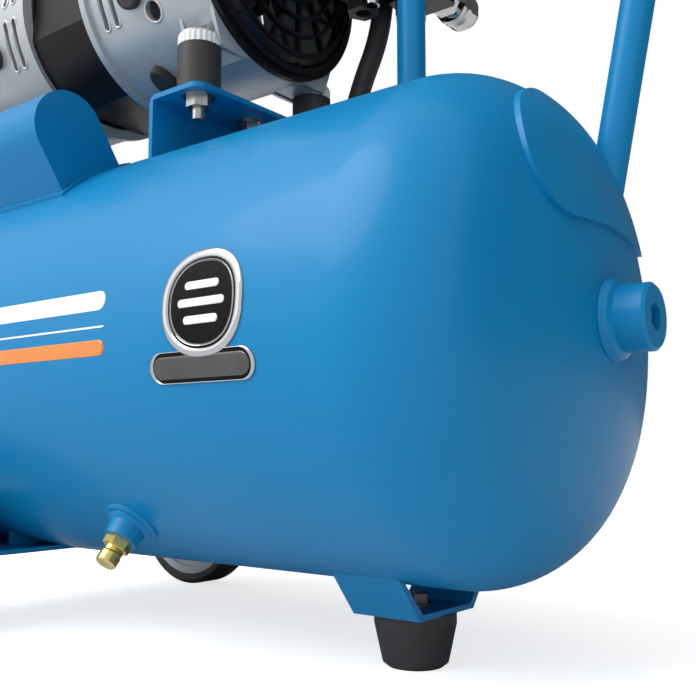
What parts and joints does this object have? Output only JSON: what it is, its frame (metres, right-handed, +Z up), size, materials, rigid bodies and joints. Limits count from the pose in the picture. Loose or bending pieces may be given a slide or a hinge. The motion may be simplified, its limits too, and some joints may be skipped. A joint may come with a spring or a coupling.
{
  "type": "air compressor",
  "caption": "Portable twin-piston air compressor on a horizontal tank with two wheels, a rubber foot, a hoop handle, regulator, gauge and quick coupler.",
  "frame": {"origin": "on the floor under the middle of the machine", "axes": "+X along the tank towards the handle end, +Z up, -Y is the side with the drain"},
  "size_m": [0.5796, 0.2972, 0.569],
  "materials": {
    "blue_paint": "gloss",
    "black_rubber": "matt",
    "zinc_steel": "zinc plated",
    "grey_plastic": "satin",
    "tyre_rubber": "matt",
    "brass": "turned",
    "cast_aluminium": "cast",
    "black_steel": "satin",
    "copper": "varnished",
    "ground_steel": "ground",
    "black_plastic": "moulded",
    "dark_casting": "painted",
    "chrome": "polished",
    "red_plastic": "moulded",
    "clear_lens": "clear"
  },
  "bodies": {
    "root": {"tank_barrel": "blue_paint", "tank_head_front": "blue_paint", "tank_head_rear": "blue_paint", "welded_ports": "blue_paint", "port_plugs": "blue_paint", "handle_doubler": "blue_paint", "handle_tube": "blue_paint", "foot_bracket": "blue_paint", "axle_bracket": "blue_paint", "pump_saddle_front": "blue_paint", "pump_saddle_rear": "blue_paint", "capacitor_hood": "blue_paint", "handle_grip": "black_rubber", "rubber_foot": "black_rubber", "rubber_mounts": "black_rubber", "discharge_hose": "black_rubber", "foot_bolt": "zinc_steel", "axle_pins": "zinc_steel", "mount_studs": "zinc_steel", "head_bolts": "zinc_steel", "drain_valve": "brass", "check_valve": "brass", "safety_valve": "brass", "bell_front": "cast_aluminium", "bell_rear": "cast_aluminium", "cylinders": "cast_aluminium", "cylinder_heads": "cast_aluminium", "stator": "black_steel", "fan_guard_front": "black_steel", "fan_guard_rear": "black_steel", "windings": "copper", "bearings": "ground_steel", "riser_pipe": "ground_steel", "intake_filters": "black_plastic", "pressure_switch": "black_plastic", "cable_gland": "black_plastic", "capacitor": "black_plastic", "gauge_case": "black_plastic", "manifold": "dark_casting", "discharge_elbow": "dark_casting", "crossover_pipe": "dark_casting", "coupler_body": "chrome", "vent_pipe": "chrome", "gauge_lens": "clear_lens"},
    "crank": {"motor_shaft": "ground_steel", "rotor": "ground_steel", "eccentrics": "ground_steel", "fans": "black_plastic"},
    "rod_front": {"piston_front": "ground_steel"},
    "rod_rear": {"piston_rear": "ground_steel"},
    "near_wheel": {"wheel_near": "grey_plastic", "tyre_near": "tyre_rubber"},
    "far_wheel": {"wheel_far": "grey_plastic", "tyre_far": "tyre_rubber"},
    "drain_screw": {"drain_knob": "brass"},
    "regulator_screw": {"regulator_knob": "black_plastic"},
    "needle": {"gauge_needle": "red_plastic"},
    "sleeve": {"coupler_sleeve": "chrome"},
    "switch_button": {"switch_knob": "red_plastic"},
    "relief_ring": {"safety_ring": "ground_steel"}
  },
  "joints": [
    {"name": "crank_spin", "type": "hinge", "parent": "root", "child": "crank", "pos_m": [-0.103, 0, 0.42], "axis": [1, 0, 0], "continuous": true},
    {"name": "front_throw", "type": "hinge", "parent": "crank", "child": "rod_front", "pos_m": [-0.017, 0, 0.424], "axis": [1, 0, 0], "continuous": true},
    {"name": "rear_throw", "type": "hinge", "parent": "crank", "child": "rod_rear", "pos_m": [-0.189, 0, 0.416], "axis": [1, 0, 0], "continuous": true},
    {"name": "near_wheel_spin", "type": "hinge", "parent": "root", "child": "near_wheel", "pos_m": [-0.174, -0.1325, 0.06], "axis": [0, 1, 0], "continuous": true},
    {"name": "far_wheel_spin", "type": "hinge", "parent": "root", "child": "far_wheel", "pos_m": [-0.174, 0.1325, 0.06], "axis": [0, 1, 0], "continuous": true},
    {"name": "drain_turn", "type": "hinge", "parent": "root", "child": "drain_screw", "pos_m": [0.004, -0.09859, 0.0529], "axis": [0, -0.6361, -0.7716], "range_deg": [0, 330]},
    {"name": "regulator_turn", "type": "hinge", "parent": "root", "child": "regulator_screw", "pos_m": [0.091, 0.081, 0.455], "axis": [0, 0, 1], "range_deg": [-720, 720]},
    {"name": "needle_sweep", "type": "hinge", "parent": "root", "child": "needle", "pos_m": [0.134, 0.081, 0.424], "axis": [1, 0, 0], "range_deg": [-135, 135], "stiffness_Nm_per_rad": 0.001},
    {"name": "sleeve_slide", "type": "slide", "parent": "root", "child": "sleeve", "axis": [0, -1, 0], "range_m": [0, 0.0035], "stiffness_N_per_m": 2000},
    {"name": "switch_lift", "type": "slide", "parent": "root", "child": "switch_button", "axis": [0, 0, 1], "range_m": [0, 0.006]},
    {"name": "relief_pull", "type": "slide", "parent": "root", "child": "relief_ring", "axis": [-1, 0, 0], "range_m": [0, 0.004], "stiffness_N_per_m": 1500}
  ],
  "couplings": [
    {"joint": "front_throw", "follows": "crank_spin", "ratio": -1},
    {"joint": "rear_throw", "follows": "crank_spin", "ratio": -1}
  ]
}
